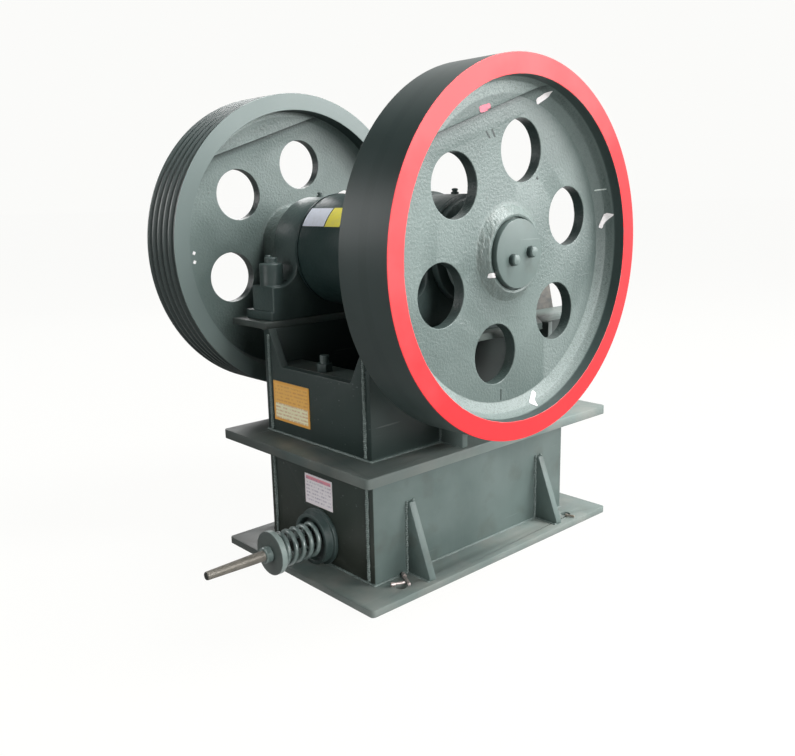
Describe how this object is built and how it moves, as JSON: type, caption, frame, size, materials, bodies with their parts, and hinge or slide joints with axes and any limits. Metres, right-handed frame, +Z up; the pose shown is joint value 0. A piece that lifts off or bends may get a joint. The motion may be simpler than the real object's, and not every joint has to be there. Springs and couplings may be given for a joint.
{
  "type": "jaw crusher",
  "caption": "Small single-toggle jaw crusher with a welded plate frame, an eccentric shaft between a flywheel and a grooved V-belt sheave, and a sprung tension rod at the back.",
  "frame": {"origin": "on the ground, under the middle of the base plate, at the centre of its four anchor holes", "axes": "+X towards the feed and fixed jaw side, +Y towards the sheave side, +Z up"},
  "size_m": [0.889, 0.7315, 0.931],
  "materials": {
    "enamel": "grey-green enamel, satin",
    "manganese_steel": "cast manganese steel",
    "bare_steel": "oiled bare steel",
    "spring_enamel": "grey-green enamel, satin"
  },
  "bodies": {
    "frame": {"adjusting_wedge": "enamel", "base_plate": "enamel", "bearing_cover_flywheel_side": "enamel", "bearing_cover_sheave_side": "enamel", "bearing_housing_flywheel_side": "enamel", "bearing_housing_sheave_side": "enamel", "bearing_plate_flywheel_side": "enamel", "bearing_plate_sheave_side": "enamel", "cheek_plate_flywheel_side": "manganese_steel", "cheek_plate_sheave_side": "manganese_steel", "fixed_jaw_plate": "manganese_steel", "front_bearing_rib_flywheel_side": "enamel", "front_bearing_rib_sheave_side": "enamel", "front_gusset_flywheel_side": "enamel", "front_gusset_sheave_side": "enamel", "lower_front_wall": "enamel", "lower_rear_wall": "enamel", "lower_wall_flywheel_side": "enamel", "lower_wall_sheave_side": "enamel", "middle_flange": "enamel", "rear_bearing_rib_flywheel_side": "enamel", "rear_bearing_rib_sheave_side": "enamel", "rear_gusset_flywheel_side": "enamel", "rear_gusset_sheave_side": "enamel", "screw_shelf": "enamel", "spring_cup": "enamel", "spring_washer": "spring_enamel", "tension_rod": "bare_steel", "tension_spring": "spring_enamel", "toggle_beam": "enamel", "toggle_block": "enamel", "toggle_plate": "bare_steel", "upper_front_wall": "enamel", "upper_rear_wall": "enamel", "upper_wall_flywheel_side": "enamel", "upper_wall_sheave_side": "enamel", "wedge_screw": "bare_steel"},
    "rotor": {"eccentric_shaft": "bare_steel", "flywheel": "enamel", "sheave": "enamel", "flywheel_cap": "enamel", "sheave_cap": "enamel"},
    "pitman": {"pitman": "enamel", "moving_jaw_plate": "manganese_steel", "jaw_clamp": "enamel"}
  },
  "joints": [
    {"name": "crank", "type": "hinge", "parent": "frame", "child": "rotor", "pos_m": [-0.103, 0, 0.616], "axis": [0, 1, 0], "continuous": true},
    {"name": "pitman_swing", "type": "hinge", "parent": "rotor", "child": "pitman", "pos_m": [-0.10043, 0, 0.60842], "axis": [0, 1, 0], "continuous": true}
  ],
  "couplings": [
    {"joint": "pitman_swing", "follows": "crank", "ratio": -1}
  ]
}
